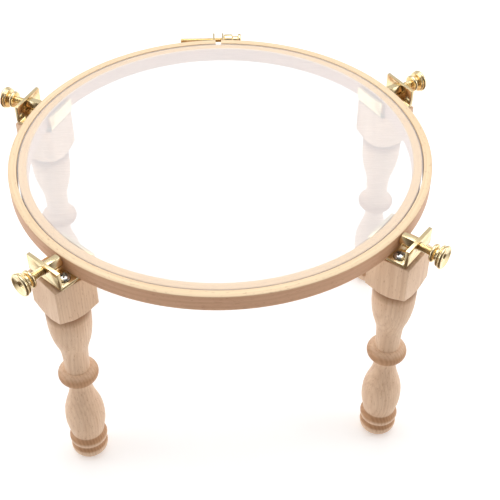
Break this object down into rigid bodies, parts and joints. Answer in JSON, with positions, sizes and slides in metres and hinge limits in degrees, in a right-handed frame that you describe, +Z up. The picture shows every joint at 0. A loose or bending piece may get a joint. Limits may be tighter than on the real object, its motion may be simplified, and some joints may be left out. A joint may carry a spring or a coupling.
{
  "type": "embroidery hoop on stand",
  "caption": "Round wooden embroidery hoop holding taut sheer cloth, carried on turned wooden legs by brass brackets with radial thumb screws.",
  "frame": {"origin": "on the table, at the centre of the object's plan box; the hoop's own axis stands at x 3.11 mm, y -7.00 mm", "axes": "+Z up along the hoop's axis, +Y towards the closure of the outer ring, +X to the right seen from the front"},
  "size_m": [0.3344, 0.318, 0.2051],
  "materials": {
    "beech_ring": "smooth sanded pale beech",
    "beech_leg": "turned and sanded beech, clear satin",
    "cloth": "sheer white organza, taut",
    "brass": "bright polished brass",
    "steel": "bright zinc-plated steel"
  },
  "bodies": {
    "hoop": {"outer_ring": "beech_ring", "closure_lug_left": "brass", "closure_lug_right": "brass", "lug_tack_left": "brass", "lug_tack_right": "brass"},
    "inner_hoop": {"inner_ring": "beech_ring", "cloth": "cloth"},
    "closure_screw": {"closure_screw": "brass"},
    "clamp_front_left": {"bracket_front_left": "brass", "clamp_nut_front_left": "brass", "leg_front_left": "beech_leg", "wood_screw_1_front_left": "steel", "wood_screw_2_front_left": "steel"},
    "pad_front_left": {"pressure_pad_front_left": "brass"},
    "thumb_screw_front_left": {"thumb_screw_front_left": "brass"},
    "clamp_front_right": {"bracket_front_right": "brass", "clamp_nut_front_right": "brass", "leg_front_right": "beech_leg", "wood_screw_1_front_right": "steel", "wood_screw_2_front_right": "steel"},
    "pad_front_right": {"pressure_pad_front_right": "brass"},
    "thumb_screw_front_right": {"thumb_screw_front_right": "brass"},
    "clamp_back_left": {"bracket_back_left": "brass", "clamp_nut_back_left": "brass", "leg_back_left": "beech_leg", "wood_screw_1_back_left": "steel", "wood_screw_2_back_left": "steel"},
    "pad_back_left": {"pressure_pad_back_left": "brass"},
    "thumb_screw_back_left": {"thumb_screw_back_left": "brass"},
    "clamp_back_right": {"bracket_back_right": "brass", "clamp_nut_back_right": "brass", "leg_back_right": "beech_leg", "wood_screw_1_back_right": "steel", "wood_screw_2_back_right": "steel"},
    "pad_back_right": {"pressure_pad_back_right": "brass"},
    "thumb_screw_back_right": {"thumb_screw_back_right": "brass"}
  },
  "joints": [
    {"name": "inner_hoop_lift", "type": "slide", "parent": "hoop", "child": "inner_hoop", "axis": [0, 0, 1], "range_m": [0, 0.02]},
    {"name": "closure_screw_turn", "type": "hinge", "parent": "hoop", "child": "closure_screw", "pos_m": [0.00311, 0.154, 0.1958], "axis": [1, 0, 0], "range_deg": [0, 1080]},
    {"name": "leg_turn_front_left", "type": "hinge", "parent": "hoop", "child": "clamp_front_left", "pos_m": [0.00311, -0.007, 0.2016], "axis": [0, 0, 1], "range_deg": [-20, 20]},
    {"name": "pad_press_front_left", "type": "slide", "parent": "clamp_front_left", "child": "pad_front_left", "axis": [-0.6947, -0.7193, 0], "range_m": [0, 0.003]},
    {"name": "thumb_screw_turn_front_left", "type": "hinge", "parent": "pad_front_left", "child": "thumb_screw_front_left", "pos_m": [-0.11637, -0.13073, 0.1966], "axis": [-0.6947, -0.7193, 0], "range_deg": [0, 1080]},
    {"name": "leg_turn_front_right", "type": "hinge", "parent": "hoop", "child": "clamp_front_right", "pos_m": [0.00311, -0.007, 0.2016], "axis": [0, 0, 1], "range_deg": [-20, 20]},
    {"name": "pad_press_front_right", "type": "slide", "parent": "clamp_front_right", "child": "pad_front_right", "axis": [0.7771, -0.6293, 0], "range_m": [0, 0.003]},
    {"name": "thumb_screw_turn_front_right", "type": "hinge", "parent": "pad_front_right", "child": "thumb_screw_front_right", "pos_m": [0.13678, -0.11524, 0.1966], "axis": [0.7771, -0.6293, 0], "range_deg": [0, 1080]},
    {"name": "leg_turn_back_left", "type": "hinge", "parent": "hoop", "child": "clamp_back_left", "pos_m": [0.00311, -0.007, 0.2016], "axis": [0, 0, 1], "range_deg": [-20, 20]},
    {"name": "pad_press_back_left", "type": "slide", "parent": "clamp_back_left", "child": "pad_back_left", "axis": [-0.9026, 0.4305, 0], "range_m": [0, 0.003]},
    {"name": "thumb_screw_turn_back_left", "type": "hinge", "parent": "pad_back_left", "child": "thumb_screw_back_left", "pos_m": [-0.15213, 0.06705, 0.1966], "axis": [-0.9026, 0.4305, 0], "range_deg": [0, 1080]},
    {"name": "leg_turn_back_right", "type": "hinge", "parent": "hoop", "child": "clamp_back_right", "pos_m": [0.00311, -0.007, 0.2016], "axis": [0, 0, 1], "range_deg": [-20, 20]},
    {"name": "pad_press_back_right", "type": "slide", "parent": "clamp_back_right", "child": "pad_back_right", "axis": [0.866, 0.5, 0], "range_m": [0, 0.003]},
    {"name": "thumb_screw_turn_back_right", "type": "hinge", "parent": "pad_back_right", "child": "thumb_screw_back_right", "pos_m": [0.15207, 0.079, 0.1966], "axis": [0.866, 0.5, 0], "range_deg": [0, 1080]}
  ],
  "couplings": [
    {"joint": "pad_press_front_left", "follows": "thumb_screw_turn_front_left", "m_per_rad": 0.00015915},
    {"joint": "pad_press_front_right", "follows": "thumb_screw_turn_front_right", "m_per_rad": 0.00015915},
    {"joint": "pad_press_back_left", "follows": "thumb_screw_turn_back_left", "m_per_rad": 0.00015915},
    {"joint": "pad_press_back_right", "follows": "thumb_screw_turn_back_right", "m_per_rad": 0.00015915}
  ]
}
